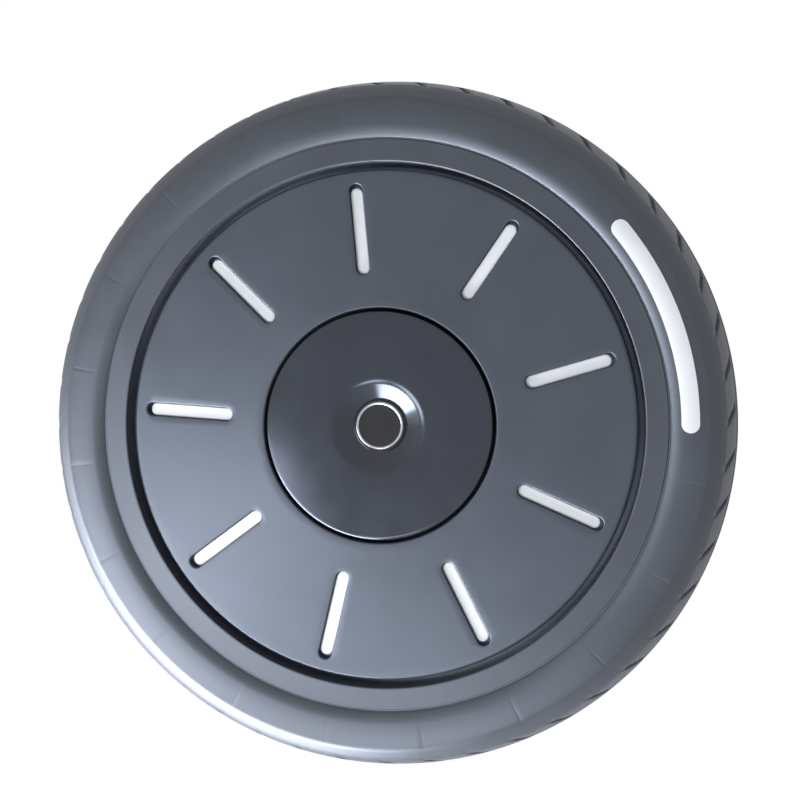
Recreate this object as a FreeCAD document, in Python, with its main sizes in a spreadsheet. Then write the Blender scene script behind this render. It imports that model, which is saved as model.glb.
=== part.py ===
import FreeCAD, Part
import os
import re
import Sketcher

# Wheel of a two-wheeled self-balancing scooter: a tubeless tyre on a rim that houses a direct-drive motor.
# Millimetres and degrees. The wheel turns about Y.
# Its outer face looks along -Y, and the axle leaves along +Y.
# The origin is on the axle, in the middle plane of the tyre.
# Names ending in _front are distances in front of that plane, names ending in _back distances behind it.

SIZES = {
    # tyre 70/65-6.5
    "tyre_radius": 129,
    "bead_radius": 82.55,
    "bead_toe": 11.5,
    "bead_heel": 20.9,
    "heel_round": 1.95,
    "flange_inside": 22.5,
    "guard_radius": 96.1,
    "guard_front": 33.2,
    "guard_width": 7.8,
    "valley_radius": 105.1,
    "valley_front": 32.8,
    "crest_radius": 109.8,
    "crest_front": 33.8,
    "wall_edge_radius": 117.9,
    "wall_edge_front": 33,
    "wall_edge_round": 5.5,
    "shoulder_radius": 120.6,
    "shoulder_front": 31.6,
    "shoulder_round": 22,
    "tread_edge_radius": 124.2,
    "tread_edge_front": 28.4,
    "tread_edge_round": 6.4,
    "tread_side_radius": 125,
    "tread_side_front": 26.4,
    "cavity_radius": 120.6,
    "rib_groove_offset": 9.5,
    "rib_groove_width": 3,
    "rib_groove_depth": 2.6,
    "notch_count": 48,
    "notch_width": 3.2,
    "notch_depth": 1.3,
    "notch_inner": 13.5,
    "notch_slant": 25,
    # rim casting
    "flange_radius": 93.4,
    "flange_round": 1.6,
    "well_radius": 75.5,
    "drum_radius": 69.5,
    "drum_back": 25,
    "flange_back": 27,
    "cover_seat_radius": 81,
    "disc_inner_radius": 43.5,
    "disc_inner_front": 36.2,
    "disc_outer_radius": 92,
    "disc_outer_front": 32.5,
    "disc_edge_front": 31.1,
    "disc_edge_round": 1.5,
    "recess_radius": 42.7,
    "recess_front": 30,
    "snap_groove": 0.5,
    "wall_inside_front": 28.5,
    "floor_inside_front": 25.5,
    "relief_radius": 79,
    "boss_radius": 22.5,
    # slots in the disc and the white bars in them
    "slot_count": 9,
    "slot_angle": 16.1,
    "slot_inner": 55.2,
    "slot_outer": 88.6,
    "slot_width": 5,
    "slot_depth": 3.2,
    "slot_edge_round": 0.4,
    "strip_recess": 1.5,
    "strip_outer": 87.3,
    "strip_gap": 0.15,
    # centre cap and medallion
    "cap_radius": 41.7,
    "cap_edge_front": 37.3,
    "cap_edge_round": 1.3,
    "cap_lip_front": 38.6,
    "cap_skirt_front": 30.6,
    "bowl_radius": 9.6,
    "bowl_front": 33.4,
    "bowl_wall": 5.6,
    "bowl_slope": 34,
    "badge_radius": 8.8,
    "badge_rim": 1.15,
    "badge_front": 34.7,
    # sidewall label
    "label_inner": 108.6,
    "label_outer": 115.1,
    "label_thickness": 0.25,
    "label_half_angle": 19.3,
    "label_end": 3.35,
    "label_angle": 19.8,
    # back cover, its screws and seals
    "cover_radius": 80.6,
    "cover_back": 28.6,
    "cover_spigot_radius": 69.3,
    "cover_spigot_back": 21.5,
    "cover_boss_back": 34.5,
    "screw_count": 9,
    "screw_circle": 77.3,
    "screw_angle": 10,
    "screw_radius": 2,
    "screw_length": 13,
    "screw_head_radius": 3.6,
    "screw_head_height": 2.4,
    "screw_socket": 2.5,
    "seal_ring_radius": 70.8,
    "seal_ring_width": 2.4,
    "seal_ring_depth": 1.6,
    # bearings: 15x35x11 at the front, 20x42x12 at the back
    "front_bore": 7.5,
    "front_outside": 17.5,
    "front_start": -20,
    "front_width": 11,
    "back_bore": 10,
    "back_outside": 21,
    "back_start": 16.5,
    "back_width": 12,
    "seal_bore": 10.3,
    "seal_outside": 16,
    # axle
    "seat_radius": 12,
    "clamp_radius": 9,
    "clamp_start": 37,
    "flats_start": 53,
    "axle_end": 68,
    "flats_width": 14,
    "cable_bore": 4.5,
    "key_width": 5,
    "key_depth": 3,
    # motor: 27 wound teeth inside 30 magnets
    "stack_start": -15.5,
    "stack_length": 26,
    "core_bore": 45,
    "core_radius": 62.3,
    "tooth_count": 27,
    "tooth_width": 6,
    "slot_floor": 50.5,
    "slot_roof": 59.6,
    "tip_radius": 61,
    "tip_opening": 2.4,
    "insulator": 0.6,
    "coil_inner": 51.2,
    "coil_height": 8,
    "coil_wall": 2.2,
    "coil_overhang": 5.5,
    "coil_round": 3,
    "magnet_count": 30,
    "magnet_inner": 63,
    "magnet_outer": 66,
    "magnet_half_angle": 5.3,
    "magnet_start": -16.5,
    "magnet_length": 28,
    "flux_start": -17.5,
    "flux_length": 30,
    # air valve
    "valve_circle": 77.8,
    "valve_radius": 3.5,
    "valve_seat": 10.5,
    "valve_end": 33.5,
}

Vector = FreeCAD.Vector
doc = FreeCAD.newDocument("scooter_wheel")
sheet = doc.addObject("Spreadsheet::Sheet", "sizes")
for row, (alias, size) in enumerate(SIZES.items(), start=1):
    sheet.set(f"A{row}", alias)
    sheet.set(f"B{row}", str(size))
    sheet.setAlias(f"B{row}", alias)
doc.recompute()
nodes = []


# A formula in size names becomes an expression on the sheet's cells
def cells(formula):
    words = r"[a-z]+(_[a-z]+)*"
    return re.sub(words, lambda word: "sizes." + word[0] if word[0] in SIZES else word[0], formula)


def number(formula):
    result = sheet.evalExpression(cells(formula))
    return float(getattr(result, "Value", result))


def origin_part(body, role):
    return [feature for feature in body.Origin.OriginFeatures if feature.Role == role][0]


def new_body(label):
    body = doc.addObject("PartDesign::Body", label)
    nodes.append(body)
    return body


# Middle point of an arc between two points. A positive radius bulges to the right, seen from start to end.
def arc_middle(start, end, radius):
    half = (end - start) / 2
    side = Vector(half.y, -half.x, 0).normalize()
    rise = abs(radius) - max(radius * radius - half.Length ** 2, 0) ** 0.5
    return (start + end) / 2 + side * (rise if radius > 0 else -rise)


def nearer_end(edge, point):
    return 1 if edge.StartPoint.distanceToPoint(point) < edge.EndPoint.distanceToPoint(point) else 2


def bind(sketch, constraint, formula):
    index = sketch.addConstraint(constraint)
    sketch.setExpression(f"Constraints[{index}]", cells(formula))


def lock_point(sketch, edge, end, across, along):
    for kind, axis, formula in (("DistanceX", -2, across), ("DistanceY", -1, along)):
        if formula == "0":
            sketch.addConstraint(Sketcher.Constraint("PointOnObject", edge, end, axis))
        else:
            bind(sketch, Sketcher.Constraint(kind, -1, 1, edge, end, number(formula)), formula)


# One closed outline, anticlockwise, corner by corner. A corner's third formula starts an arc of that radius.
def add_outline(sketch, corners):
    points = [Vector(number(corner[0]), number(corner[1]), 0) for corner in corners]
    first = len(sketch.Geometry)
    count = len(corners)
    for i, corner in enumerate(corners):
        start = points[i]
        end = points[(i + 1) % count]
        if len(corner) == 2:
            sketch.addGeometry(Part.LineSegment(start, end), False)
        else:
            middle = arc_middle(start, end, number(corner[2]))
            ends = (start, end) if number(corner[2]) > 0 else (end, start)
            sketch.addGeometry(Part.Arc(ends[0], middle, ends[1]), False)
    edges = sketch.Geometry
    for i, corner in enumerate(corners):
        this_edge = first + i
        edge_before = first + (i - 1) % count
        end_here = nearer_end(edges[this_edge], points[i])
        end_before = nearer_end(edges[edge_before], points[i])
        sketch.addConstraint(Sketcher.Constraint("Coincident", edge_before, end_before, this_edge, end_here))
        lock_point(sketch, this_edge, end_here, corner[0], corner[1])
        if len(corner) == 3:
            radius = corner[2]
            if number(radius) < 0:
                radius = f"-({radius})"
            bind(sketch, Sketcher.Constraint("Radius", this_edge, number(radius)), radius)


def add_circle(sketch, across, along, radius):
    centre = Vector(number(across), number(along), 0)
    edge = sketch.addGeometry(Part.Circle(centre, Vector(0, 0, 1), number(radius)), False)
    lock_point(sketch, edge, 3, across, along)
    bind(sketch, Sketcher.Constraint("Radius", edge, number(radius)), radius)


# A sketch on one of the body's planes, lifted off it, slanted about x, tilted about y and turned about z
def new_sketch(body, name, plane, outlines=(), circles=(), lift="0", turn="0", tilt="0", slant="0"):
    sketch = body.newObject("Sketcher::SketchObject", f"{body.Label}_{name}")
    sketch.AttachmentSupport = [(origin_part(body, plane), "")]
    sketch.MapMode = "FlatFace"
    spot = f"create(<<vector>>; 0; 0; {cells(lift)})"
    facing = f"create(<<rotation>>; {cells(turn)}; {cells(tilt)}; {cells(slant)})"
    sketch.setExpression("AttachmentOffset", f"create(<<placement>>; {spot}; {facing})")
    for corners in outlines:
        add_outline(sketch, corners)
    for across, along, radius in circles:
        add_circle(sketch, across, along, radius)
    doc.recompute()
    return sketch


def revolve(body, sketch, angle=360, both_ways=False):
    feature = body.newObject("PartDesign::Revolution", f"{body.Label}_turned")
    feature.Profile = sketch
    feature.ReferenceAxis = (origin_part(body, "Y_Axis"), [""])
    feature.Angle = angle
    feature.Midplane = both_ways
    doc.recompute()
    return feature


def pad(body, name, sketch, length, backwards=False):
    feature = body.newObject("PartDesign::Pad", f"{body.Label}_{name}")
    feature.Profile = sketch
    feature.Reversed = backwards
    feature.setExpression("Length", cells(length))
    doc.recompute()
    return feature


# A cut that removes nothing points the wrong way, so the volume is compared
def pocket(body, name, sketch, length, forwards=False, both_ways=False):
    before = body.Shape.Volume
    feature = body.newObject("PartDesign::Pocket", f"{body.Label}_{name}")
    feature.Profile = sketch
    feature.Reversed = forwards
    feature.Midplane = both_ways
    feature.setExpression("Length", cells(length))
    doc.recompute()
    if before - body.Shape.Volume < 0.1:
        raise RuntimeError(f"{feature.Label} cuts nothing")
    return feature


def repeat_around(body, feature, count, angle=360):
    pattern = body.newObject("PartDesign::PolarPattern", f"{feature.Label}_around")
    pattern.Originals = [feature]
    pattern.Axis = (origin_part(body, "Y_Axis"), [""])
    pattern.Angle = angle
    pattern.setExpression("Occurrences", cells(count))
    body.Tip = pattern
    doc.recompute()
    return pattern


# Rounds the edges of a body that a test picks out
def round_edges(body, name, radius, picked):
    before = body.Tip
    edges = [f"Edge{index}" for index, edge in enumerate(before.Shape.Edges, start=1) if picked(edge)]
    feature = body.newObject("PartDesign::Fillet", f"{body.Label}_{name}")
    feature.Base = (before, edges)
    feature.setExpression("Radius", cells(radius))
    body.Tip = feature
    doc.recompute()


# A piece of one or more outlines turned about the wheel's axis
def turned(label, *outlines, angle=360, both_ways=False):
    body = new_body(label)
    sketch = new_sketch(body, "section", "XY_Plane", outlines)
    revolve(body, sketch, angle, both_ways)
    return body


# Radius of an arc that leaves a crest level and falls by drop over run
def crest_arc(run, drop):
    return f"(({run})^2 + ({drop})^2) / (2 * ({drop}))"


# An annular sector about the first axis of its plane
def sector(inner, outer, half_angle):
    low = f"-sin({half_angle})"
    high = f"sin({half_angle})"
    out = f"cos({half_angle})"
    return [
        (f"({inner}) * {out}", f"({inner}) * {low}"),
        (f"({outer}) * {out}", f"({outer}) * {low}", outer),
        (f"({outer}) * {out}", f"({outer}) * {high}"),
        (f"({inner}) * {out}", f"({inner}) * {high}", f"-({inner})"),
    ]


# Tyre: bead, rim-guard band, valley, flat sidewall, shoulder and tread, the same on both sides
inner_bulge = crest_arc("crest_radius - valley_radius", "crest_front - valley_front")
outer_bulge = crest_arc("wall_edge_radius - crest_radius", "crest_front - wall_edge_front")
crown = crest_arc("tread_side_front", "tyre_radius - tread_side_radius")
tyre_side = [
    ("bead_radius", "bead_toe"),
    ("bead_radius", "bead_heel", "heel_round"),
    ("bead_radius + heel_round", "flange_inside"),
    ("guard_radius - 1.5", "flange_inside", "-1.5"),
    ("guard_radius", "flange_inside + 1.5"),
    ("guard_radius", "guard_front - 0.8", "0.8"),
    ("guard_radius + 0.8", "guard_front"),
    ("guard_radius + guard_width", "guard_front - 0.2", "1.1"),
    ("valley_radius", "valley_front", inner_bulge),
    ("crest_radius", "crest_front", outer_bulge),
    ("wall_edge_radius", "wall_edge_front", "wall_edge_round"),
    ("shoulder_radius", "shoulder_front", "shoulder_round"),
    ("tread_edge_radius", "tread_edge_front", "tread_edge_round"),
    ("tread_side_radius", "tread_side_front", crown),
]
cavity_side = [
    ("bead_radius + 2.1", "bead_toe - 1"),
    ("90.5", "13.6"),
    ("97.5", "18.6"),
    ("105.6", "25"),
    ("112.6", "29.5"),
    ("117.8", "26.5"),
    ("cavity_radius - 0.2", "18"),
]
front_outside = [(corner[0], f"-({corner[1]})", *corner[2:]) for corner in tyre_side]
back_corners = [corner[:2] for corner in reversed(tyre_side)]
back_arcs = [corner[2:] for corner in reversed(tyre_side[:-1])] + [()]
back_outside = [corner + arc for corner, arc in zip(back_corners, back_arcs)]
cavity = cavity_side + [("cavity_radius", "6"), ("cavity_radius", "-6")]
cavity += [(across, f"-({along})") for across, along in reversed(cavity_side)]
tyre = turned("tyre", front_outside + back_outside + cavity)


# Two grooves round the tread and slanting notches across both shoulders, staggered front to back
def rib_groove(side):
    near = f"{side} * (rib_groove_offset - rib_groove_width / 2)"
    far = f"{side} * (rib_groove_offset + rib_groove_width / 2)"
    low, high = (near, far) if side > 0 else (far, near)
    floor = "tyre_radius - rib_groove_depth"
    return [(floor, low), ("tyre_radius + 2", low), ("tyre_radius + 2", high), (floor, high)]


groove_sketch = new_sketch(tyre, "rib_grooves_outline", "XY_Plane", [rib_groove(1), rib_groove(-1)])
grooves = tyre.newObject("PartDesign::Groove", "tyre_rib_grooves")
grooves.Profile = groove_sketch
grooves.ReferenceAxis = (origin_part(tyre, "Y_Axis"), [""])
grooves.Angle = 360
doc.recompute()


# A point of a notch, given by its distance from the axle and from the middle plane, in the slanted sketch
def notch_corner(away, along, side):
    across = f"sqrt(({away})^2 - (({along}) * tan(notch_slant))^2)"
    return (across, f"{side} * ({along}) / cos(notch_slant)")


for side, name in ((-1, "front_notch"), (1, "back_notch")):
    notch = [
        notch_corner("tyre_radius - 1 - notch_depth", "notch_inner", side),
        notch_corner("tread_side_radius - notch_depth", "tread_side_front", side),
        notch_corner("tread_side_radius - notch_depth", "tread_edge_front + 1.6", side),
        notch_corner("tyre_radius + 3", "tread_edge_front + 1.6", side),
        notch_corner("tyre_radius + 3", "notch_inner", side),
    ]
    stagger = "0 deg" if side < 0 else "180 deg / notch_count"
    tilt = f"{stagger} - asin(tread_edge_front * tan(notch_slant) / tread_edge_radius)"
    slant = f"{-side} * notch_slant"
    notch_sketch = new_sketch(tyre, f"{name}_outline", "XY_Plane", [notch], tilt=tilt, slant=slant)
    notch_cut = pocket(tyre, name, notch_sketch, "notch_width", both_ways=True)
    repeat_around(tyre, notch_cut, "notch_count")

# Rim casting: front disc, bead seats and flanges, motor drum and front bearing seat in one
recess_edge = "disc_inner_radius - recess_radius"
hub = turned("wheel_hub", [
    ("0", "-recess_front"),
    ("recess_radius", "-recess_front"),
    ("recess_radius", "-recess_front - 1.2"),
    ("recess_radius + snap_groove", "-recess_front - 1.5"),
    ("recess_radius + snap_groove", "-recess_front - 2.3"),
    ("recess_radius", "-recess_front - 2.6"),
    ("recess_radius", f"-disc_inner_front + {recess_edge}", recess_edge),
    ("disc_inner_radius", "-disc_inner_front"),
    ("disc_outer_radius", "-disc_outer_front", "disc_edge_round"),
    ("flange_radius", "-disc_edge_front"),
    ("flange_radius", "-flange_inside - flange_round", "flange_round"),
    ("flange_radius - flange_round", "-flange_inside"),
    ("bead_radius + heel_round", "-flange_inside", "-heel_round"),
    ("bead_radius", "-bead_heel"),
    ("bead_radius", "-bead_toe + 0.5"),
    ("well_radius", "-7"),
    ("well_radius", "7"),
    ("bead_radius", "bead_toe - 0.5"),
    ("bead_radius", "bead_heel", "-heel_round"),
    ("bead_radius + heel_round", "flange_inside"),
    ("flange_radius - flange_round", "flange_inside", "flange_round"),
    ("flange_radius", "flange_inside + flange_round"),
    ("flange_radius", "flange_back - 2", "2"),
    ("flange_radius - 2", "flange_back"),
    ("cover_seat_radius", "flange_back"),
    ("cover_seat_radius", "drum_back"),
    ("seal_ring_radius + seal_ring_width", "drum_back"),
    ("seal_ring_radius + seal_ring_width", "drum_back - seal_ring_depth"),
    ("seal_ring_radius", "drum_back - seal_ring_depth"),
    ("seal_ring_radius", "drum_back"),
    ("drum_radius", "drum_back"),
    ("drum_radius", "flux_start"),
    ("drum_radius - 1.2", "flux_start"),
    ("drum_radius - 1.2", "flux_start - 1.5"),
    ("relief_radius", "-flange_inside"),
    ("relief_radius", "-wall_inside_front"),
    ("50", "-wall_inside_front"),
    ("46", "-floor_inside_front"),
    ("boss_radius", "-floor_inside_front"),
    ("boss_radius", "front_start + front_width"),
    ("front_outside", "front_start + front_width"),
    ("front_outside", "front_start"),
    ("front_outside - 3", "front_start"),
    ("front_outside - 3", "-23"),
    ("0", "-23"),
])

# The disc falls away as a shallow cone, so each slot is cut square to that cone
cone_tilt = "atan((disc_inner_front - disc_outer_front) / (disc_outer_radius - disc_inner_radius))"
cone_apex = f"disc_inner_front + disc_inner_radius * tan({cone_tilt})"


def rounded_bar(inner, outer, width):
    half = f"({width}) / 2"
    end = f"({width}) * 0.503"
    return [
        (f"{inner} + {half}", f"-({half})"),
        (f"{outer} - {half}", f"-({half})", end),
        (f"{outer} - {half}", half),
        (f"{inner} + {half}", half, end),
    ]


slot_outline = rounded_bar("slot_inner", "slot_outer", "slot_width")
slot_place = (cone_apex, "slot_angle", cone_tilt)
slot_sketch = new_sketch(hub, "slot_outline", "XZ_Plane", [slot_outline], (), *slot_place)
slot = pocket(hub, "slot", slot_sketch, "slot_depth")
repeat_around(hub, slot, "slot_count")


def is_slot_edge(edge):
    fall = number("(disc_inner_front - disc_outer_front) / (disc_outer_radius - disc_inner_radius)")
    for corner in edge.Vertexes:
        across = (corner.X ** 2 + corner.Z ** 2) ** 0.5
        front = SIZES["disc_inner_front"] - (across - SIZES["disc_inner_radius"]) * fall
        in_reach = SIZES["slot_inner"] - 0.2 < across < SIZES["slot_outer"] + 0.2
        if not in_reach or abs(corner.Y + front) > 0.05:
            return False
    return True


# Paint and casting leave the slots' front edges soft
round_edges(hub, "slot_edges", "slot_edge_round", is_slot_edge)

# Tapped holes for the cover screws
tap_circle = [("screw_circle", "0", "screw_radius")]
tap_sketch = new_sketch(hub, "tapped_hole_outline", "XZ_Plane", (), tap_circle, "-drum_back", "screw_angle")
tapped_hole = pocket(hub, "tapped_hole", tap_sketch, "screw_length - 2", forwards=True)
repeat_around(hub, tapped_hole, "screw_count")

# Valve hole through the back bead seat into the well, with a flat seat at both ends
for name, start, length, radius in (
    ("valve_hole", "drum_back", "drum_back - valve_seat + 2", "valve_radius + 0.1"),
    ("valve_seat_inside", "valve_seat", "valve_seat + 3", "valve_radius + 2.1"),
    ("valve_seat_outside", "flange_back", "flange_back - drum_back", "valve_radius + 2.9"),
):
    valve_circle = [("0", "-valve_circle", radius)]
    valve_sketch = new_sketch(hub, f"{name}_outline", "XZ_Plane", (), valve_circle, f"-({start})")
    pocket(hub, name, valve_sketch, length, forwards=True)

# White bars lying in the slots, a little below the disc and short of the slots' outer ends
strips = new_body("reflector_strips")
strip_width = "slot_width - 2 * strip_gap"
strip_outline = rounded_bar("slot_inner + strip_gap", "strip_outer", strip_width)
strip_lift = f"{cone_apex} - strip_recess / cos({cone_tilt})"
strip_place = (strip_lift, "slot_angle", cone_tilt)
strip_sketch = new_sketch(strips, "outline", "XZ_Plane", [strip_outline], (), *strip_place)
strip = pad(strips, "bar", strip_sketch, "slot_depth - strip_recess", backwards=True)
repeat_around(strips, strip, "slot_count")

# Centre cap: a thin moulded shell that rises to a soft lip and dips into a conical bowl, held by a snap bead
wall_across = "bowl_radius + bowl_wall"
wall_front = "bowl_front + bowl_wall * tan(bowl_slope)"
lip_bend = f"(cap_lip_front - ({wall_front})) / (1 - cos(bowl_slope))"
lip_across = f"{wall_across} + ({lip_bend}) * sin(bowl_slope)"
cap_fall = crest_arc(f"cap_radius - cap_edge_round - ({lip_across})", "cap_lip_front - cap_edge_front")
turned("hub_cap", [
    ("0", "-bowl_front"),
    ("bowl_radius", "-bowl_front"),
    (wall_across, f"-({wall_front})", lip_bend),
    (lip_across, "-cap_lip_front", cap_fall),
    ("cap_radius - cap_edge_round", "-cap_edge_front", "cap_edge_round + 0.1"),
    ("cap_radius", "-cap_edge_front + cap_edge_round"),
    ("cap_radius", "-cap_skirt_front - 2.6"),
    ("cap_radius + 1.25", "-cap_skirt_front - 1.6"),
    ("cap_radius + 1.25", "-cap_skirt_front - 1"),
    ("cap_radius", "-cap_skirt_front"),
    ("cap_radius - 2", "-cap_skirt_front"),
    ("cap_radius - 2", "-cap_edge_front + 2.1"),
    ("23.5", "-cap_lip_front + 2.1"),
    (f"{wall_across} + 1.1", f"-({wall_front}) + 1.7"),
    ("bowl_radius + 0.6", "-bowl_front + 2"),
    ("0", "-bowl_front + 2"),
])

# Medallion at the bottom of the bowl: slightly domed plain face inside a raised rim
badge_dome = crest_arc("badge_radius - badge_rim", "0.2")
turned("badge", [
    ("0", "-badge_front - 0.2", badge_dome),
    ("badge_radius - badge_rim", "-badge_front"),
    ("badge_radius - badge_rim", "-badge_front - 0.3", "badge_rim * 0.55"),
    ("badge_radius", "-badge_front - 0.3"),
    ("badge_radius", "-bowl_front"),
    ("0", "-bowl_front"),
])


# Label: a thin skin over the crest of the sidewall, trimmed to a curved strip with round ends
def sidewall_front(across):
    bulge, run = (inner_bulge, "crest_radius - label_inner")
    if across == "label_outer":
        bulge, run = (outer_bulge, "label_outer - crest_radius")
    return f"crest_front - ({bulge}) + sqrt(({bulge})^2 - ({run})^2)"


label = turned("sidewall_label", [
    ("label_inner", f"-({sidewall_front('label_inner')}) - label_thickness", inner_bulge),
    ("crest_radius", "-crest_front - label_thickness", outer_bulge),
    ("label_outer", f"-({sidewall_front('label_outer')}) - label_thickness"),
    ("label_outer", f"-({sidewall_front('label_outer')})", f"-({outer_bulge})"),
    ("crest_radius", "-crest_front", f"-({inner_bulge})"),
    ("label_inner", f"-({sidewall_front('label_inner')})"),
], angle=56, both_ways=True)
strip_corners = sector("label_inner", "label_outer", "label_half_angle")
label_strip = [
    strip_corners[0] + ("label_end",),
    strip_corners[1],
    strip_corners[2] + ("label_end",),
    strip_corners[3],
]
label_surround = [("80", "-80"), ("140", "-80"), ("140", "80"), ("80", "80")]
trim_outlines = [label_surround, label_strip]
trim_sketch = new_sketch(label, "trim_outline", "XZ_Plane", trim_outlines, (), "crest_front + 10")
pocket(label, "trim", trim_sketch, "30")
label.Placement = FreeCAD.Placement(Vector(0, 0, 0), FreeCAD.Rotation(Vector(0, -1, 0), SIZES["label_angle"]))
label.setExpression("Placement.Rotation.Angle", cells("label_angle"))

# Back cover: closes the drum, carries the back bearing and the shaft seal
cover = turned("back_cover", [
    ("back_outside", "back_start"),
    ("back_outside + 5.5", "back_start"),
    ("back_outside + 5.5", "drum_back - 1"),
    ("66", "drum_back - 1"),
    ("66", "cover_spigot_back"),
    ("cover_spigot_radius", "cover_spigot_back"),
    ("cover_spigot_radius", "drum_back"),
    ("cover_radius", "drum_back"),
    ("cover_radius", "cover_back - 0.8"),
    ("cover_radius - 0.8", "cover_back"),
    ("52", "cover_back"),
    ("48", "cover_back + 1.6"),
    ("29", "cover_back + 2.2"),
    ("25.5", "cover_boss_back - 0.8"),
    ("24.7", "cover_boss_back"),
    ("seal_outside", "cover_boss_back"),
    ("seal_outside", "cover_boss_back - 5"),
    ("seal_outside - 1.5", "cover_boss_back - 5"),
    ("seal_outside - 1.5", "back_start + back_width"),
    ("back_outside", "back_start + back_width"),
])
cover_hole = [("screw_circle", "0", "screw_radius + 0.15")]
hole_place = ("-drum_back + 1", "screw_angle")
cover_sketch = new_sketch(cover, "screw_hole_outline", "XZ_Plane", (), cover_hole, *hole_place)
repeat_around(cover, pocket(cover, "screw_hole", cover_sketch, "6"), "screw_count")
valve_notch = [("0", "-valve_circle", "valve_radius + 4")]
notch_sketch = new_sketch(cover, "valve_notch_outline", "XZ_Plane", (), valve_notch, "-drum_back + 1")
pocket(cover, "valve_notch", notch_sketch, "6")

# Button-head screws with a hexagon socket, and the sealing ring under the cover
screws = new_body("cover_screws")
shank = [("screw_circle", "0", "screw_radius")]
shank_sketch = new_sketch(screws, "shank_outline", "XZ_Plane", (), shank, "-cover_back", "screw_angle")
repeat_around(screws, pad(screws, "shank", shank_sketch, "screw_length"), "screw_count")
head_circle = [("screw_circle", "0", "screw_head_radius")]
head_sketch = new_sketch(screws, "head_outline", "XZ_Plane", (), head_circle, "-cover_back", "screw_angle")
head = pad(screws, "head", head_sketch, "screw_head_height", backwards=True)
repeat_around(screws, head, "screw_count")


def hexagon(across, along, flats):
    corner = f"({flats}) / sqrt(3)"
    return [(f"{across} + {corner} * cos({60 * k})", f"{along} + {corner} * sin({60 * k})") for k in range(6)]


socket_lift = "-cover_back - screw_head_height"
socket_outline = hexagon("screw_circle", "0", "screw_socket")
socket_place = (socket_lift, "screw_angle")
socket_sketch = new_sketch(screws, "socket_outline", "XZ_Plane", [socket_outline], (), *socket_place)
repeat_around(screws, pocket(screws, "socket", socket_sketch, "1.5", forwards=True), "screw_count")


def is_head_edge(edge):
    on_top = abs(edge.CenterOfMass.y - SIZES["cover_back"] - SIZES["screw_head_height"]) < 0.01
    return on_top and edge.Length > 6 * SIZES["screw_head_radius"]


round_edges(screws, "head_edges", "screw_head_height * 0.6", is_head_edge)
turned("cover_seal_ring", [
    ("seal_ring_radius + 0.1", "drum_back - seal_ring_depth"),
    ("seal_ring_radius + seal_ring_width - 0.1", "drum_back - seal_ring_depth"),
    ("seal_ring_radius + seal_ring_width - 0.1", "drum_back"),
    ("seal_ring_radius + 0.1", "drum_back"),
])
turned("oil_seal", [
    ("seal_outside - 1.8", "cover_boss_back - 5"),
    ("seal_outside", "cover_boss_back - 5"),
    ("seal_outside", "cover_boss_back - 0.3"),
    ("seal_bore + 1.2", "cover_boss_back - 0.3"),
    ("seal_bore", "cover_boss_back - 1.3"),
    ("seal_bore", "cover_boss_back - 2.1"),
    ("seal_bore + 1.2", "cover_boss_back - 2.9"),
    ("seal_outside - 1.8", "cover_boss_back - 2.9"),
])


# A sealed ball bearing: two rings with raceway grooves, and a pair of seals held by the outer ring
def bearing(name, bore, outside, start, width):
    pitch = f"({bore} + {outside}) / 2"
    land = f"({outside} - {bore}) * 0.21"
    race = f"({outside} - {bore}) * 0.3"
    half_race = f"sqrt(({race})^2 - ({land})^2)"
    middle = f"({start} + {width} / 2)"
    end = f"{start} + {width}"
    turned(f"{name}_inner_ring", [
        (bore, start),
        (f"{pitch} - {land}", start),
        (f"{pitch} - {land}", f"{middle} - {half_race}", f"-({race})"),
        (f"{pitch} - {land}", f"{middle} + {half_race}"),
        (f"{pitch} - {land}", end),
        (bore, end),
    ])
    turned(f"{name}_outer_ring", [
        (f"{pitch} + {land}", start),
        (outside, start),
        (outside, end),
        (f"{pitch} + {land}", end),
        (f"{pitch} + {land}", f"{middle} + {half_race}", f"-({race})"),
        (f"{pitch} + {land}", f"{middle} - {half_race}"),
    ])
    seals = []
    for low in (f"{start} + 0.4", f"{end} - 1.1"):
        seals.append([
            (f"{pitch} - {land} + 0.3", low),
            (f"{pitch} + {land}", low),
            (f"{pitch} + {land}", f"{low} + 0.7"),
            (f"{pitch} - {land} + 0.3", f"{low} + 0.7"),
        ])
    turned(f"{name}_seals", *seals)


bearing("outer_bearing", "front_bore", "front_outside", "front_start", "front_width")
bearing("inner_bearing", "back_bore", "back_outside", "back_start", "back_width")

# Axle: front journal, stator seat, back journal, round clamp length and a flatted end, hollow for the cable
axle = turned("axle", [
    ("0", "-22.4"),
    ("front_bore - 0.6", "-22.4"),
    ("front_bore", "-21.8"),
    ("front_bore", "front_start - 1.2"),
    ("front_bore - 0.6", "front_start - 1.2"),
    ("front_bore - 0.6", "front_start - 0.05"),
    ("front_bore", "front_start - 0.05"),
    ("front_bore", "front_start + front_width"),
    ("front_bore + 2", "front_start + front_width"),
    ("front_bore + 2", "-7.5"),
    ("seat_radius", "-7.5"),
    ("seat_radius", "back_start"),
    ("back_bore", "back_start"),
    ("back_bore", "clamp_start"),
    ("clamp_radius", "clamp_start"),
    ("clamp_radius", "axle_end - 1"),
    ("clamp_radius - 1", "axle_end"),
    ("cable_bore + 0.7", "axle_end"),
    ("cable_bore", "axle_end - 0.7"),
    ("cable_bore", "11"),
    ("0", "8.6"),
])
flats = []
for side in (1, -1):
    near = f"{side} * flats_width / 2"
    far = f"{side} * (clamp_radius + 2)"
    low, high = (near, far) if side > 0 else (far, near)
    flats.append([("-12", low), ("12", low), ("12", high), ("-12", high)])
flats_sketch = new_sketch(axle, "flats_outline", "XZ_Plane", flats, (), "-axle_end")
pocket(axle, "flats", flats_sketch, "axle_end - flats_start", forwards=True)
exit_sketch = new_sketch(axle, "cable_exit_outline", "XY_Plane", (), [("0", "12.6", "3.4")])
pocket(axle, "cable_exit", exit_sketch, "seat_radius + 2")
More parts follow.
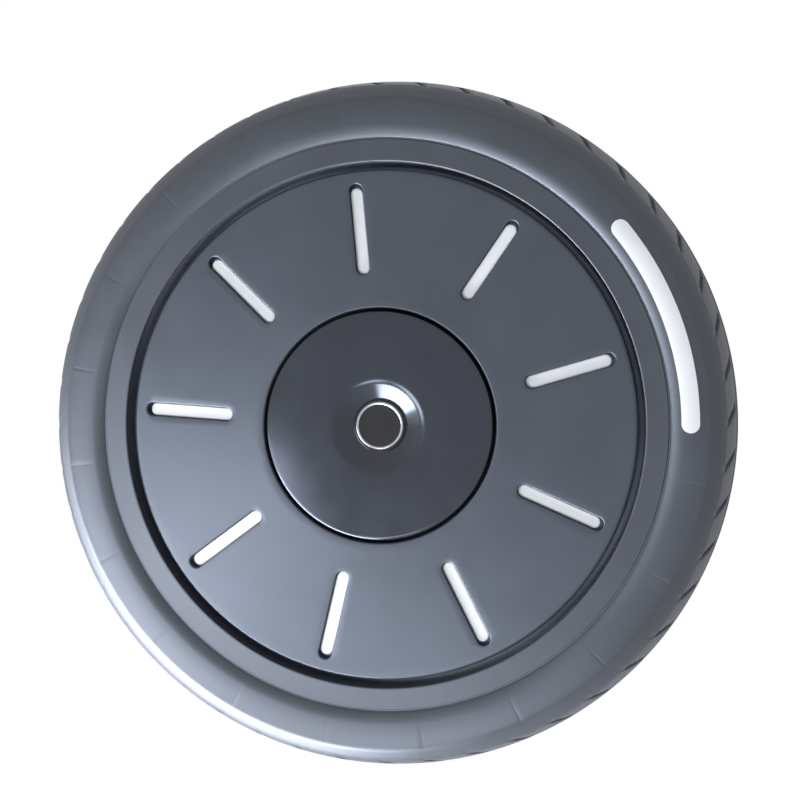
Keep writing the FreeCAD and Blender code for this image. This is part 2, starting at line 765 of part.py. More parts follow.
key_outline = [
    ("-key_width / 2", "-6"),
    ("key_width / 2", "-6"),
    ("key_width / 2", "8"),
    ("-key_width / 2", "8"),
]
keyway_sketch = new_sketch(axle, "keyway_outline", "XY_Plane", [key_outline], (), "seat_radius + 1")
pocket(axle, "keyway", keyway_sketch, "key_depth + 1")
key = new_body("stator_key")
key_sketch = new_sketch(key, "outline", "XY_Plane", [key_outline], (), "seat_radius - key_depth")
pad(key, "bar", key_sketch, "key_width")

# Retaining ring on the front journal, open at the side
turned("axle_circlip", [
    ("front_bore - 0.6", "front_start - 1.15"),
    ("front_bore + 1.9", "front_start - 1.15"),
    ("front_bore + 1.9", "front_start - 0.1"),
    ("front_bore - 0.6", "front_start - 0.1"),
], angle=330)

# Stator carrier: hub, web with six holes and rim, keyed to the axle
carrier = turned("stator_carrier", [
    ("seat_radius", "-7"),
    ("19", "-7"),
    ("19", "-2"),
    ("40", "-2"),
    ("40", "-13"),
    ("core_bore", "-13"),
    ("core_bore", "8"),
    ("40", "8"),
    ("40", "4"),
    ("19", "4"),
    ("19", "9"),
    ("seat_radius", "9"),
])
web_sketch = new_sketch(carrier, "web_hole_outline", "XZ_Plane", (), [("29.5", "0", "6.5")], "4")
repeat_around(carrier, pocket(carrier, "web_hole", web_sketch, "12"), "6")
carrier_keyway = [
    ("-key_width / 2", "seat_radius - 2"),
    ("key_width / 2", "seat_radius - 2"),
    ("key_width / 2", "seat_radius - key_depth + key_width + 0.3"),
    ("-key_width / 2", "seat_radius - key_depth + key_width + 0.3"),
]
carrier_keyway_sketch = new_sketch(carrier, "keyway_outline", "XZ_Plane", [carrier_keyway], (), "10")
pocket(carrier, "keyway", carrier_keyway_sketch, "24")

# Laminated core with parallel teeth and wide tips, and a thin insulating plate of the same form at both ends
pitch_half = "180 / tooth_count"


def slot_half_width(across):
    return f"(({across}) * sin({pitch_half}) - tooth_width / 2) / cos({pitch_half})"


winding_slot = [
    ("slot_floor", f"-({slot_half_width('slot_floor')})"),
    ("slot_roof", f"-({slot_half_width('slot_roof')})"),
    ("tip_radius", "-tip_opening / 2"),
    ("core_radius + 1", "-tip_opening / 2"),
    ("core_radius + 1", "tip_opening / 2"),
    ("tip_radius", "tip_opening / 2"),
    ("slot_roof", slot_half_width("slot_roof")),
    ("slot_floor", slot_half_width("slot_floor")),
]


def toothed_ring(name, inner, outer, start, length):
    ring = turned(name, [
        (inner, start),
        (outer, start),
        (outer, f"{start} + {length}"),
        (inner, f"{start} + {length}"),
    ])
    sketch = new_sketch(ring, "slot_outline", "XZ_Plane", [winding_slot], (), f"-({start}) + 1", pitch_half)
    repeat_around(ring, pocket(ring, "slot", sketch, f"{length} + 2"), "tooth_count")


toothed_ring("stator_core", "core_bore", "core_radius", "stack_start", "stack_length")
plate_edges = ("core_bore + 1", "core_radius - 0.8")
toothed_ring("stator_insulator_front", *plate_edges, "stack_start - insulator", "insulator")
toothed_ring("stator_insulator_back", *plate_edges, "stack_start + stack_length", "insulator")

# One coil round every tooth
windings = new_body("windings")
coil_low = "stack_start - insulator"
coil_high = "stack_start + stack_length + insulator"
coil_side = "tooth_width / 2 + 0.1"
coil_hole = [
    (coil_low, f"-({coil_side})"),
    (coil_high, f"-({coil_side})"),
    (coil_high, coil_side),
    (coil_low, coil_side),
]
low_end = f"{coil_low} - coil_overhang"
high_end = f"{coil_high} + coil_overhang"
out_side = f"{coil_side} + coil_wall"
coil_outside = [
    (f"{low_end} + coil_round", f"-({out_side})"),
    (f"{high_end} - coil_round", f"-({out_side})", "coil_round"),
    (high_end, f"-({out_side}) + coil_round"),
    (high_end, f"{out_side} - coil_round", "coil_round"),
    (f"{high_end} - coil_round", out_side),
    (f"{low_end} + coil_round", out_side, "coil_round"),
    (low_end, f"{out_side} - coil_round"),
    (low_end, f"-({out_side}) + coil_round", "coil_round"),
]
coil_sketch = new_sketch(windings, "outline", "YZ_Plane", [coil_outside, coil_hole], (), "coil_inner")
repeat_around(windings, pad(windings, "coil", coil_sketch, "coil_height"), "tooth_count")

# Position board on the back ends of the coils, with three sensors
board = new_body("hall_board")
board_outline = sector("50", "61", "35")
board_sketch = new_sketch(board, "outline", "XZ_Plane", [board_outline], (), f"-({high_end})", "90")
pad(board, "plate", board_sketch, "1.6", backwards=True)
sensors = new_body("hall_sensors")
sensor_outline = [("56.5", "-2"), ("59.5", "-2"), ("59.5", "2"), ("56.5", "2")]
sensor_turn = "90 - 720 / tooth_count"
sensor_lift = f"-({high_end}) - 1.6"
sensor_sketch = new_sketch(sensors, "outline", "XZ_Plane", [sensor_outline], (), sensor_lift, sensor_turn)
sensor = pad(sensors, "sensor", sensor_sketch, "1.5", backwards=True)
sensor_around = repeat_around(sensors, sensor, "3")
sensor_around.Reversed = True
sensor_around.setExpression("Angle", cells("1440 / tooth_count"))

# Magnets and the steel ring that carries them inside the drum
turned("flux_ring", [
    ("magnet_outer", "flux_start"),
    ("drum_radius", "flux_start"),
    ("drum_radius", "flux_start + flux_length"),
    ("magnet_outer", "flux_start + flux_length"),
])
magnets = new_body("magnets")
magnet_outline = sector("magnet_inner", "magnet_outer", "magnet_half_angle")
magnet_sketch = new_sketch(magnets, "outline", "XZ_Plane", [magnet_outline], (), "-magnet_start")
magnet = pad(magnets, "magnet", magnet_sketch, "magnet_length", backwards=True)
repeat_around(magnets, magnet, "magnet_count")

# Air valve, drawn about its own axis and then set low on the back of the rim
valve_pieces = [
    turned("valve_stem", [
        ("1.6", "valve_seat - 2.8"),
        ("valve_radius + 1.7", "valve_seat - 2.8"),
        ("valve_radius + 1.7", "valve_seat - 0.8"),
        ("valve_radius", "valve_seat - 0.8"),
        ("valve_radius", "valve_end - 0.6"),
        ("valve_radius - 0.6", "valve_end"),
        ("1.6", "valve_end"),
    ]),
    turned("valve_gasket", [
        ("valve_radius", "valve_seat - 0.8"),
        ("valve_radius + 1.8", "valve_seat - 0.8"),
        ("valve_radius + 1.8", "valve_seat"),
        ("valve_radius", "valve_seat"),
    ]),
    turned("valve_core", [
        ("0", "valve_seat"),
        ("1", "valve_seat"),
        ("1.6", "valve_seat + 2"),
        ("1.6", "valve_end - 9"),
        ("0.8", "valve_end - 7"),
        ("0.8", "valve_end - 0.8"),
        ("0", "valve_end - 0.8"),
    ]),
    turned("valve_cap", [
        ("valve_radius + 0.05", "drum_back + 3.4"),
        ("valve_radius + 1.2", "drum_back + 3.4"),
        ("valve_radius + 1.2", "valve_end + 1.4"),
        ("valve_radius + 0.4", "valve_end + 2.2"),
        ("0", "valve_end + 2.2"),
        ("0", "valve_end + 0.6"),
        ("valve_radius + 0.05", "valve_end + 0.6"),
    ]),
]
nut = new_body("valve_nut")
nut_hole = [("0", "0", "valve_radius")]
nut_sketch = new_sketch(nut, "outline", "XZ_Plane", [hexagon("0", "0", "9.6")], nut_hole, "-drum_back")
pad(nut, "hexagon", nut_sketch, "3", backwards=True)
for piece in valve_pieces + [nut]:
    piece.setExpression("Placement.Base.z", cells("-valve_circle"))

# Every object is checked before anything is written
doc.recompute()
for item in doc.Objects:
    if "Invalid" in item.State or "Error" in item.State:
        raise RuntimeError(f"{item.Label} did not build: {item.State}")
for node in nodes:
    if node.Shape.isNull() or not node.Shape.isValid() or not node.Shape.Solids:
        raise RuntimeError(f"{node.Label} has no valid solid")
os.makedirs("parts", exist_ok=True)
for node in nodes:
    node.Shape.exportStep(f"parts/{node.Label}.step")
    print(f"{node.Label}: {len(node.Shape.Solids)} solid(s), {node.Shape.Volume / 1000:.1f} cm3")
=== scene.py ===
import math
import bmesh
import bpy
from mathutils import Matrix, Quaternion, Vector


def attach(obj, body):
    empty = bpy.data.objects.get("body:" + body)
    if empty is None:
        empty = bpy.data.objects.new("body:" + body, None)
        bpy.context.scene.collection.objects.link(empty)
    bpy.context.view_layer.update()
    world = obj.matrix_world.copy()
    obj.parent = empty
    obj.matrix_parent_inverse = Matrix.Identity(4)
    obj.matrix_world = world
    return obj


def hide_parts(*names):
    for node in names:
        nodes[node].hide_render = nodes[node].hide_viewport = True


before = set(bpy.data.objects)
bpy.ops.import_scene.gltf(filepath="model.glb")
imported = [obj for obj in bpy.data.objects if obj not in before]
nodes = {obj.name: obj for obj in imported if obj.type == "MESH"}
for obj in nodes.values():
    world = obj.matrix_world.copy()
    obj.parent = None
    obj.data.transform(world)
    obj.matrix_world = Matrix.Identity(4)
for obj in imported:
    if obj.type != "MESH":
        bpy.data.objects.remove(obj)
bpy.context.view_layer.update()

mm = 0.001


def toLinear(hexColour):  # sRGB hex as picked from a swatch, to the linear values the sockets hold
    parts = [int(hexColour[i:i + 2], 16) / 255 for i in (1, 3, 5)]
    return tuple(c / 12.92 if c <= 0.04045 else ((c + 0.055) / 1.055) ** 2.4 for c in parts) + (1,)


# lower-case keys are the node's own properties, the others its inputs, given a value or another node's output
def addNode(tree, kind, settings):
    node = tree.nodes.new(kind)
    for key, value in settings.items():
        if isinstance(key, str) and key[0].islower():
            setattr(node, key, value)
        elif isinstance(value, bpy.types.NodeSocket):
            tree.links.new(value, node.inputs[key])
        else:
            node.inputs[key].default_value = value
    return node


def startMaterial(name, settings):
    material = bpy.data.materials.new(name)
    material.use_nodes = True
    tree = material.node_tree
    shader = tree.nodes["Principled BSDF"]
    for key, value in settings.items():
        shader.inputs[key].default_value = value
    place = addNode(tree, "ShaderNodeTexCoord", {}).outputs["Object"]
    return material, tree, shader, place


def perSize(sizeMm):  # a noise or cell scale that gives features of this size
    return 1 / (sizeMm * mm)


def noise(tree, place, sizeMm, detail, rough=0.5):
    return addNode(tree, "ShaderNodeTexNoise", {
        "Scale": perSize(sizeMm), "Detail": detail, "Roughness": rough, "Vector": place}).outputs["Fac"]


def remap(tree, source, span=(0, 1), onto=(0, 1)):
    return addNode(tree, "ShaderNodeMapRange", {
        "From Min": span[0], "From Max": span[1], "To Min": onto[0], "To Max": onto[1],
        "Value": source}).outputs[0]


def reckon(tree, operation, *values):
    return addNode(tree, "ShaderNodeMath", {"operation": operation, **dict(enumerate(values))}).outputs[0]


def mixColours(tree, share, first, second):
    return addNode(tree, "ShaderNodeMix", {"data_type": "RGBA", 0: share, 6: first, 7: second}).outputs[2]


flatMatch, cornerMatch = 0.985, 0.8  # how far the softened normal agrees with the face's own


# most along corners and creases, where paint rubs thin and dust gathers, 0 on open faces
def edgeShare(tree, reachMm, most):
    soft = addNode(tree, "ShaderNodeBevel", {"samples": 4, "Radius": reachMm * mm})
    face = addNode(tree, "ShaderNodeNewGeometry", {})
    match = addNode(tree, "ShaderNodeVectorMath", {
        "operation": "DOT_PRODUCT", 0: soft.outputs["Normal"], 1: face.outputs["Normal"]})
    return reckon(tree, "MULTIPLY", remap(tree, match.outputs["Value"], (flatMatch, cornerMatch)), most)


# most in narrow recesses, where dust settles and painted fill light lightens the shade, 0 in the open
def recessDustAndFillShare(tree, reachMm, span, most=1):
    shelter = addNode(tree, "ShaderNodeAmbientOcclusion", {"samples": 4, "Distance": reachMm * mm})
    return remap(tree, shelter.outputs["AO"], span, (0, most))


def feedShader(tree, shader, colour, rough, height, strength, depthMm):
    bump = addNode(tree, "ShaderNodeBump", {"Strength": strength, "Distance": depthMm * mm, "Height": height})
    for key, source in (("Base Color", colour), ("Roughness", rough), ("Normal", bump.outputs[0])):
        tree.links.new(source, shader.inputs[key])


def addObject(name, data):
    thing = bpy.data.objects.new(name, data)
    bpy.context.scene.collection.objects.link(thing)
    return thing


# meshes are drawn in mm as (radius, front) sections, front being how far ahead of the tyre's middle plane
def spin(radius, front, angle):
    return (radius * math.cos(angle) * mm, -front * mm, radius * math.sin(angle) * mm)


def arcBetween(start, end, radius, step):
    a, b = Vector(start[:2]), Vector(end[:2])
    half = (b - a) / 2
    side = Vector((-half.y, half.x)).normalized() * (1 if radius > 0 else -1)
    reach = math.sqrt(max(radius * radius - half.length_squared, 0))
    centre = (a + b) / 2 - side * reach
    first, last = a - centre, b - centre
    sweep = first.angle(last)
    turn = 1 if first.x * last.y - first.y * last.x > 0 else -1
    count = max(2, math.ceil(math.degrees(sweep) / step))
    points = []
    for k in range(1, count):
        angle = turn * sweep * k / count
        c, s = math.cos(angle), math.sin(angle)
        points.append((centre.x + c * first.x - s * first.y, centre.y + s * first.x + c * first.y))
    return points


# corners of a closed section; a third value starts an arc of that radius, positive where it swells outwards
def traceSection(corners, step):
    path = []
    for here, after in zip(corners, corners[1:] + corners[:1]):
        path.append(tuple(here[:2]))
        if len(here) == 3:
            path += arcBetween(here, after, here[2], step)
    return path


def crestArc(run, drop):
    return (run * run + drop * drop) / (2 * drop)


weldMm, slimMm = 0.002, 0.0005  # points closer than the first are one, edges shorter than the second go


# edges that turn by more than sharp degrees stay crisp, the others are smoothed
def finishMesh(name, points, faces, materials, body, node, sharp=35):
    mesh = bpy.data.meshes.new(name)
    mesh.from_pydata(points, [], faces)
    solid = bmesh.new()
    solid.from_mesh(mesh)
    bmesh.ops.remove_doubles(solid, verts=solid.verts, dist=weldMm * mm)
    bmesh.ops.dissolve_degenerate(solid, edges=solid.edges, dist=slimMm * mm)
    bmesh.ops.recalc_face_normals(solid, faces=solid.faces)
    solid.to_mesh(mesh)
    solid.free()
    mesh.shade_smooth()
    mesh.set_sharp_from_angle(angle=math.radians(sharp))
    for material in materials:
        mesh.materials.append(material)
    piece = addObject(name, mesh)
    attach(piece, body)
    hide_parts(node)
    return piece


def gridFaces(rows, columns, closedRows=True, closedColumns=True):
    faces = []
    for i in range(rows if closedRows else rows - 1):
        for j in range(columns if closedColumns else columns - 1):
            k, l = (i + 1) % rows, (j + 1) % columns
            faces.append((i * columns + j, i * columns + l, k * columns + l, k * columns + j))
    return faces


def turnSection(section, angles):
    points = [spin(radius, front, angle) for radius, front in section for angle in angles]
    return points, gridFaces(len(section), len(angles))


def evenAngles(count):
    return [2 * math.pi * k / count for k in range(count)]


print("stage: helpers ready")

# Vulcanised rubber, cured in a spark-eroded mould: dull black, soft grey-blue bloom, never a clean gloss
rubberLook = {
    # the pale recess colour is settled dust and painted fill light that lightens the shade in grooves and
    # notches
    "black": "#1e2025", "bloom": "#2a2d33", "dustAndFill": "#888e9a", "tint": "#e7f0ff",
    "rough": 0.39, "roughSpan": (-0.05, 0.08), "level": 0.95,
    "patchMm": 26, "speckMm": 1.6, "speckShare": 0.35, "bloomSpan": (0.45, 0.95),
    "edgeMm": 0.5, "dustShare": 0.35, "recessMm": 8, "recessSpan": (0.6, 0.15), "recessShare": 1,
    "grainMm": 0.7, "grainStrength": 0.25, "grainDepthMm": 0.06,  # the mould's 0.1 mm grit, coarser to show
    "treadMm": (121.5, 124.5), "treadRough": 0.58,  # the road dulls the tread, from the shoulder outwards
}


def makeRubber(look):
    material, tree, shader, place = startMaterial("vulcanisedRubberMoulded", {
        "IOR": 1.52, "Specular IOR Level": look["level"], "Specular Tint": toLinear(look["tint"])})
    patch = noise(tree, place, look["patchMm"], 4, 0.6)
    speck = noise(tree, place, look["speckMm"], 3)
    blotch = remap(tree, reckon(tree, "MULTIPLY_ADD", speck, look["speckShare"], patch), look["bloomSpan"])
    colour = mixColours(tree, blotch, toLinear(look["black"]), toLinear(look["bloom"]))
    worn = edgeShare(tree, look["edgeMm"], look["dustShare"])
    # recesses and edges take the pale colour: settled dust, and painted fill light that lightens the shade in
    # grooves and notches
    recessDustAndFill = recessDustAndFillShare(tree, look["recessMm"], look["recessSpan"], look["recessShare"])
    dustAndFillColour = mixColours(tree, reckon(tree, "MAXIMUM", worn, recessDustAndFill), colour, toLinear(look["dustAndFill"]))
    rough = remap(tree, patch, onto=[look["rough"] + d for d in look["roughSpan"]])
    across = addNode(tree, "ShaderNodeVectorMath", {"operation": "MULTIPLY", 0: place, 1: (1, 0, 1)})
    away = addNode(tree, "ShaderNodeVectorMath", {"operation": "LENGTH", 0: across.outputs["Vector"]})
    tread = [radius * mm for radius in look["treadMm"]]
    scuffed = remap(tree, away.outputs["Value"], tread, (0, look["treadRough"]))
    feedShader(tree, shader, dustAndFillColour, reckon(tree, "MAXIMUM", rough, scuffed),
               noise(tree, place, look["grainMm"], 2), look["grainStrength"], look["grainDepthMm"])
    return material


# what the two satin surfaces share
satinLook = {
    "fleckShare": 0.3, "cloudSpan": (0.4, 0.9), "edgeMm": 0.35, "recessSpan": (0.55, 0.15),
    "wearSpan": (0.3, 0.7), "roughSpan": (-0.03, 0.04), "peelStrength": 0.12, "peelDepthMm": 0.04,
}
# Cast aluminium under sprayed satin paint: even dark grey with a wide cool sheen and a trace of orange peel
paintLook = {
    **satinLook,
    # the pale recess colour is settled dust and painted fill light that lightens the shade in the groove and
    # slots
    "dark": "#24272d", "light": "#2b2f36", "edge": "#6a707b", "dustAndFill": "#3a3e46", "tint": "#e1edff",
    "rough": 0.37, "level": 1.0, "peelMm": 1.8, "cloudMm": 24, "fleckMm": 0.6,
    "edgeShare": 0.4, "recessMm": 8,
}
# ABS from a finely etched mould: smoother and blacker than the paint, so the bowl draws a crisp window
capLook = {
    **satinLook,
    # the pale recess colour is settled dust and painted fill light that lightens the shade in the bowl and
    # gap
    "dark": "#141518", "light": "#1a1b1e", "edge": "#3d4047", "dustAndFill": "#2a2c30", "tint": "#dde8ff",
    "rough": 0.19, "level": 0.78, "peelMm": 0.9, "cloudMm": 18, "fleckMm": 0.5,
    "edgeShare": 0.3, "recessMm": 3,
}


def makeSatin(look, name):
    material, tree, shader, place = startMaterial(name, {
        "IOR": 1.5, "Specular IOR Level": look["level"], "Specular Tint": toLinear(look["tint"])})
    cloud = noise(tree, place, look["cloudMm"], 3, 0.55)
    fleck = noise(tree, place, look["fleckMm"], 1)
    blotch = remap(tree, reckon(tree, "MULTIPLY_ADD", fleck, look["fleckShare"], cloud), look["cloudSpan"])
    colour = mixColours(tree, blotch, toLinear(look["dark"]), toLinear(look["light"]))
    rubbed = edgeShare(tree, look["edgeMm"], look["edgeShare"])
    worn = mixColours(tree, rubbed, colour, toLinear(look["edge"]))
    # recesses take the pale colour: settled dust, and painted fill light that lightens their shade
    recessDustAndFill = recessDustAndFillShare(tree, look["recessMm"], look["recessSpan"])
    dustAndFillColour = mixColours(tree, recessDustAndFill, worn, toLinear(look["dustAndFill"]))
    rough = remap(tree, cloud, look["wearSpan"], [look["rough"] + d for d in look["roughSpan"]])
    feedShader(tree, shader, dustAndFillColour, rough, noise(tree, place, look["peelMm"], 2),
               look["peelStrength"], look["peelDepthMm"])
    return material


# The secondary finishes differ in colour, gloss, grain and, on turned metal, tool rings about the axle
finishLooks = {
    # name: dark, light, worn edge, metallic, roughness, grain mm, tool ring mm
    # no tool rings at 0; they are drawn 2 pi times coarser, to show
    "chromePlatedAbs": ("#a3a5aa", "#bbbdc2", "#d6d8dc", 1, 0.22, 1.5, 0),  # bright ring, a little soft
    "absMouldedGlossBlack": ("#0f1014", "#15161b", "#2c2d33", 0, 0.22, 1.2, 0),  # deep black, clean sheen
    "polycarbonateWhiteMoulded": ("#eef1f2", "#f8fafa", "#dfe2e4", 0, 0.5, 1.1, 0),  # even milky white
    "vinylFilmWhite": ("#dfe1e3", "#e9ebed", "#cfd1d4", 0, 0.5, 2.2, 0),  # flat paper-like white
    "castAluminiumTurnedPainted": ("#3a3d44", "#454850", "#8b8f97", 0.1, 0.42, 0.9, 0.9),  # faint rings
    "zincPlatedSteel": ("#8f9294", "#a9acaf", "#c4c7c9", 1, 0.34, 1.4, 0),  # pale dull silver
    "turnedSteelBare": ("#7f8184", "#9a9c9f", "#bcbec1", 1, 0.3, 2.0, 0.5),  # grey streaks round the shaft
    "nitrileRubberMoulded": ("#1b1b1c", "#242425", "#3f4042", 0, 0.55, 0.6, 0),  # dead black
    "groundBearingSteel": ("#9d9fa2", "#b5b7ba", "#cfd1d3", 1, 0.2, 1.0, 0.3),  # fine bright rings
    "springSteelOiled": ("#3c3b3a", "#4c4a48", "#6e6b67", 1, 0.38, 0.8, 0),  # brown-black gleam
    "castAluminiumBare": ("#a7a9ab", "#bdbec0", "#d3d4d6", 1, 0.45, 1.3, 0),  # pale grainy grey
    "electricalSteelStamped": ("#66686b", "#7d7f82", "#9da0a3", 1, 0.42, 1.0, 0),  # mid grey, mottled
    "nylonMouldedNatural": ("#d8d4c4", "#e6e2d4", "#f0ede2", 0, 0.5, 1.5, 0),  # warm ivory
    "enamelledCopperWire": ("#8c4a24", "#b5652f", "#d18a52", 1, 0.3, 0.8, 0),  # red-brown lacquer gleam
    "circuitBoardSolderResist": ("#12512a", "#1b6a38", "#4d8a5c", 0, 0.35, 1.2, 0),  # green with a wet sheen
    "epoxyMouldedBlack": ("#1c1c1e", "#28282a", "#434346", 0, 0.45, 0.5, 0),  # matt black
    "nickelPlatedMagnet": ("#aaa69c", "#c4c0b6", "#dbd8cf", 1, 0.25, 1.5, 0),  # warm silver mirror
    "machinedBrass": ("#a8853f", "#c9a45a", "#e0c483", 1, 0.28, 1.1, 0),  # yellow with a soft gleam
    "polypropyleneMouldedBlack": ("#202124", "#2a2b2f", "#45464b", 0, 0.46, 0.6, 0),  # waxy black
}
# wear and grain that they share; the edges are those that hands and tools have rubbed, or that hold dust
finishWear = {
    "edgeMm": 0.3, "edgeShare": 0.6, "patchTimes": 12, "grainShare": 0.4, "colourSpan": (0.45, 0.95),
    "wearSpan": (0.3, 0.7), "roughSpan": (-0.04, 0.06), "strength": 0.2, "grainDepthMm": 0.03,
    "ringDepthMm": 0.02, "ringWander": 0.4,
}
waveRadians = 20  # the wave texture runs through this many radians per unit


def makeFinish(name, wear):
    dark, light, edge, metallic, rough, grainMm, ringMm = finishLooks[name]
    material, tree, shader, place = startMaterial(name, {"Metallic": metallic})
    grain = noise(tree, place, grainMm, 3)
    patch = noise(tree, place, grainMm * wear["patchTimes"], 4)
    blotch = remap(tree, reckon(tree, "MULTIPLY_ADD", grain, wear["grainShare"], patch), wear["colourSpan"])
    colour = mixColours(tree, blotch, toLinear(dark), toLinear(light))
    worn = mixColours(tree, edgeShare(tree, wear["edgeMm"], wear["edgeShare"]), colour, toLinear(edge))
    sheen = remap(tree, patch, wear["wearSpan"], [rough + d for d in wear["roughSpan"]])
    height, depth = grain, wear["grainDepthMm"]
    if ringMm:
        rings = addNode(tree, "ShaderNodeTexWave", {
            "wave_type": "RINGS", "rings_direction": "Y", "Distortion": wear["ringWander"],
            "Scale": perSize(ringMm) / waveRadians, "Vector": place})
        height, depth = rings.outputs["Fac"], wear["ringDepthMm"]
    feedShader(tree, shader, worn, sheen, height, wear["strength"], depth)
    return material


rubber = makeRubber(rubberLook)
paint = makeSatin(paintLook, "castAluminiumSatinPaint")
capPlastic = makeSatin(capLook, "absMouldedSatinBlack")
finishes = {name: makeFinish(name, finishWear) for name in finishLooks}
print("stage: materials ready")

# tyre, moulded in one piece: bead, rim guard, softly swelling sidewall, notched shoulders, ribbed tread
tyreSpec = {
    "valley": (105.1, 32.8), "crest": (109.8, 33.8), "wallEdge": (117.9, 33), "shoulder": (120.6, 31.6),
    "treadEdge": (124.2, 28.4), "treadSide": (125, 26.4), "crownRadius": 128.97, "crownStops": (24, 20.5, 17),
    "crownInnerStop": 3.5, "shoulderBends": (5.5, 22, 6.4),
    "notchCount": 48, "notchWidth": 3.2, "notchDepth": 1.3, "notchInner": 13.5, "notchOuter": 30,
    "notchSlant": 25, "notchRunOut": 11, "notchRadius": 126, "notchLean": 0.1, "notchLip": 0.04,
    "notchLipShare": 0.1, "notchClear": 0.42, "notchEnd": 0.1,
    "slantRadius": 125.5, "treadInner": 120, "crownDrop": 1,
    # each side of a rib's groove: how far outside its edge, and how deep there
    "ribOffset": 9.5, "ribWidth": 3, "ribSide": ((0.35, 0), (0.06, 0.22), (-0.1, 2.6)),
    # seams of the mould's segments
    "flashCount": 20, "flashAngle": 8, "flashWidth": 0.6, "flashDepth": 0.06,
    "flashRadius": 112, "flashSpan": (111, 119),
}
angleSlack = 1e-6  # radians, for angles that rounding sets apart
valley, crest, wallEdge = (tyreSpec[name] for name in ("valley", "crest", "wallEdge"))
wallInner = crestArc(crest[0] - valley[0], crest[1] - valley[1])
wallOuter = crestArc(wallEdge[0] - crest[0], crest[1] - wallEdge[1])


def tyreSide(spec):
    bead = traceSection([  # lies in the rim, where few points are enough
        (82.55, 11.5), (82.55, 20.9, 1.95), (84.5, 22.5), (94.6, 22.5, -1.5), (96.1, 24), (96.1, 32.9, 0.5),
        (96.6, 33.4)], 18)
    bends = zip(("wallEdge", "shoulder", "treadEdge"), spec["shoulderBends"])
    wall = traceSection([  # leaning guard, fine groove, sidewall and shoulder
        (97, 33.37), (103.6, 32.92), (104, 32.9), (104.35, 32.4), (104.75, 32.4),
        (*spec["valley"], wallInner), (*spec["crest"], wallOuter),
        *((*spec[name], bend) for name, bend in bends), spec["treadSide"]], 6)
    return bead + wall


def crownRadiusAt(front, spec):
    bend = crestArc(spec["treadSide"][1], spec["crownRadius"] - spec["treadSide"][0])
    return spec["crownRadius"] - bend + math.sqrt(bend * bend - front * front)


# the notches slant, so each ring of the tread is turned a little against the next
def notchLead(front, spec):
    slope = math.tan(math.radians(spec["notchSlant"]))
    reach = min(max(abs(front), spec["notchInner"]), spec["notchOuter"])
    edgeRadius, edgeFront = spec["treadEdge"]
    return math.asin(edgeFront * slope / edgeRadius) - math.asin(reach * slope / spec["slantRadius"])


def makeTyre(spec):
    side = tyreSide(spec)
    ribNear, ribFar = (spec["ribOffset"] + s * spec["ribWidth"] / 2 for s in (-1, 1))
    notchEnds = [spec["notchInner"] + s * spec["notchEnd"] for s in (1, -1)]
    stops = [(front, 0) for front in (*spec["crownStops"], *notchEnds)]
    stops += [(ribFar + out, drop) for out, drop in spec["ribSide"]]
    stops += [(ribNear - out, drop) for out, drop in reversed(spec["ribSide"])]
    stops.append((spec["crownInnerStop"], 0))
    crown = [(crownRadiusAt(front, spec) - drop, front) for front, drop in stops]
    cavity = [(84.65, 10.5), (90.5, 13.6), (97.5, 18.6), (105.6, 25), (112.6, 29.5), (117.8, 26.5),
              (120.4, 18)]
    outside = side + crown
    section = outside + [(spec["crownRadius"], 0)] + [(r, -f) for r, f in reversed(outside)]
    section += [(r, -f) for r, f in cavity] + [(r, f) for r, f in reversed(cavity)]

    pitch = 2 * math.pi / spec["notchCount"]
    half = spec["notchWidth"] / 2
    near, lip, clear = (step / spec["notchRadius"] for step in (
        half - spec["notchLean"], half + spec["notchLip"], half + spec["notchClear"]))
    angles = set()
    for k in range(spec["notchCount"]):
        for centre in (k * pitch, (k + 0.5) * pitch):
            angles.update(centre + s * d for s in (-1, 1) for d in (near, lip, clear))
            angles.add(centre + pitch / 4)
    flashes = [math.radians(spec["flashAngle"]) + 2 * math.pi * k / spec["flashCount"]
               for k in range(spec["flashCount"])]
    flashHalf = spec["flashWidth"] / 2 / spec["flashRadius"]
    for centre in flashes:
        angles.update(centre + d for d in (-flashHalf, 0, flashHalf))
    angles = sorted(a % (2 * math.pi) for a in angles)

    def notchShare(angle, front):
        shift = 0 if front > 0 else pitch / 2
        away = abs((angle - shift + pitch / 2) % pitch - pitch / 2)
        if away <= near + angleSlack:
            return 1
        return spec["notchLipShare"] if away <= lip + angleSlack else 0

    def floorRadius(front):
        inner = spec["crownRadius"] - spec["crownDrop"] - spec["notchDepth"]
        outer = spec["treadSide"][0] - spec["notchDepth"]
        share = (front - spec["notchInner"]) / (spec["treadSide"][1] - spec["notchInner"])
        return inner + (outer - inner) * min(share, 1)

    flashNear = {a % (2 * math.pi) for a in flashes}
    points = []
    outsideCount = len(outside) * 2 + 1
    for index, (radius, front) in enumerate(section):
        reach = abs(front)
        onTread = spec["notchInner"] < reach < spec["notchOuter"] and radius > spec["treadInner"]
        cut = index < outsideCount and onTread
        onWall = index < outsideCount and spec["flashSpan"][0] < radius < spec["flashSpan"][1]
        lead = notchLead(front, spec)
        for angle in angles:
            r, f = radius, front
            if cut:
                fade = min(1, (spec["notchOuter"] - reach) / spec["notchRunOut"])
                r -= fade * notchShare(angle, front) * max(0, radius - floorRadius(reach))
            elif onWall and angle in flashNear:
                f -= math.copysign(spec["flashDepth"], front)
            points.append(spin(r, f, angle + lead))
    faces = gridFaces(len(section), len(angles))
    return finishMesh("tyre_moulded", points, faces, [rubber], "wheel", "tyre", 40)


makeTyre(tyreSpec)
print("stage: tyre ready")

